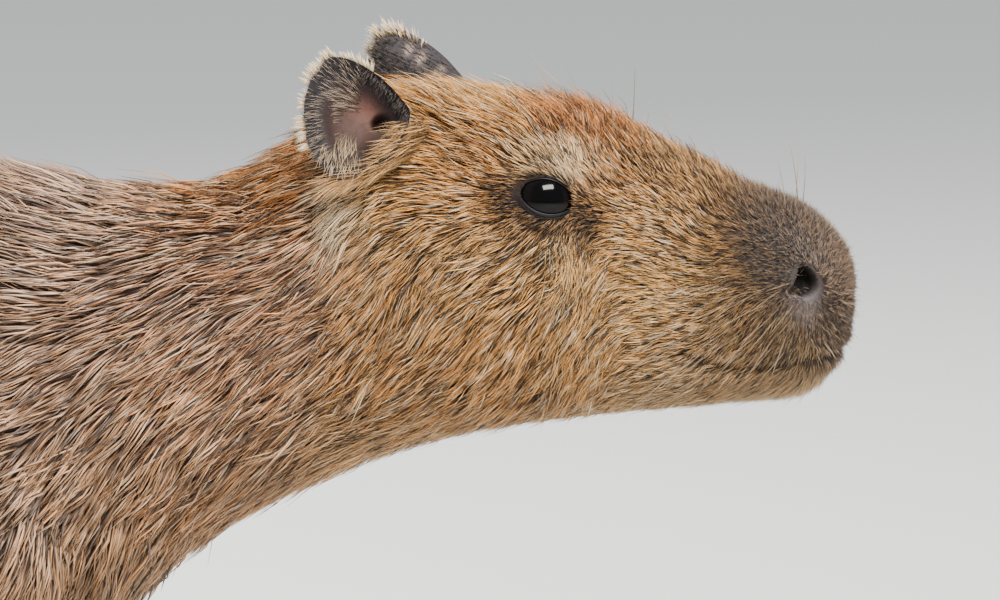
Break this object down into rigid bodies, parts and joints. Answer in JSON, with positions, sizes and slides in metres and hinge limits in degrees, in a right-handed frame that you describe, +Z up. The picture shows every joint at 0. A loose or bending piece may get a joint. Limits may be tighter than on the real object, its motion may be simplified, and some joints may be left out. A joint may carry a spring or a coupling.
{
  "type": "capybara",
  "caption": "Still life-size model of a standing half-grown capybara with head held level, blunt deep muzzle, small cupped ears, barrel body and webbed hoof-clawed feet.",
  "frame": {"origin": "middle of the footprint of the whole animal, on the floor under its feet", "axes": "+X forward, towards the nose; +Y to the animal's left; +Z up"},
  "size_m": [0.93, 0.252, 0.4866],
  "materials": {
    "coat": "coarse sparse fur, golden to orange brown over dark skin",
    "ear_skin": "dark bare skin with short pale hairs",
    "eye": "wet, very dark brown",
    "horn": "dark blunt horn"
  },
  "bodies": {
    "root": {"head": "coat", "neck": "coat", "torso": "coat", "tail_stub": "coat", "ear_left": "ear_skin", "eye_left": "eye", "fore_leg_left": "coat", "fore_foot_left": "coat", "fore_claw_left_1": "horn", "fore_claw_left_2": "horn", "fore_claw_left_3": "horn", "fore_claw_left_4": "horn", "hind_leg_left": "coat", "hind_foot_left": "coat", "hind_claw_left_1": "horn", "hind_claw_left_2": "horn", "hind_claw_left_3": "horn", "ear_right": "ear_skin", "eye_right": "eye", "fore_leg_right": "coat", "fore_foot_right": "coat", "fore_claw_right_1": "horn", "fore_claw_right_2": "horn", "fore_claw_right_3": "horn", "fore_claw_right_4": "horn", "hind_leg_right": "coat", "hind_foot_right": "coat", "hind_claw_right_1": "horn", "hind_claw_right_2": "horn", "hind_claw_right_3": "horn"}
  },
  "joints": []
}
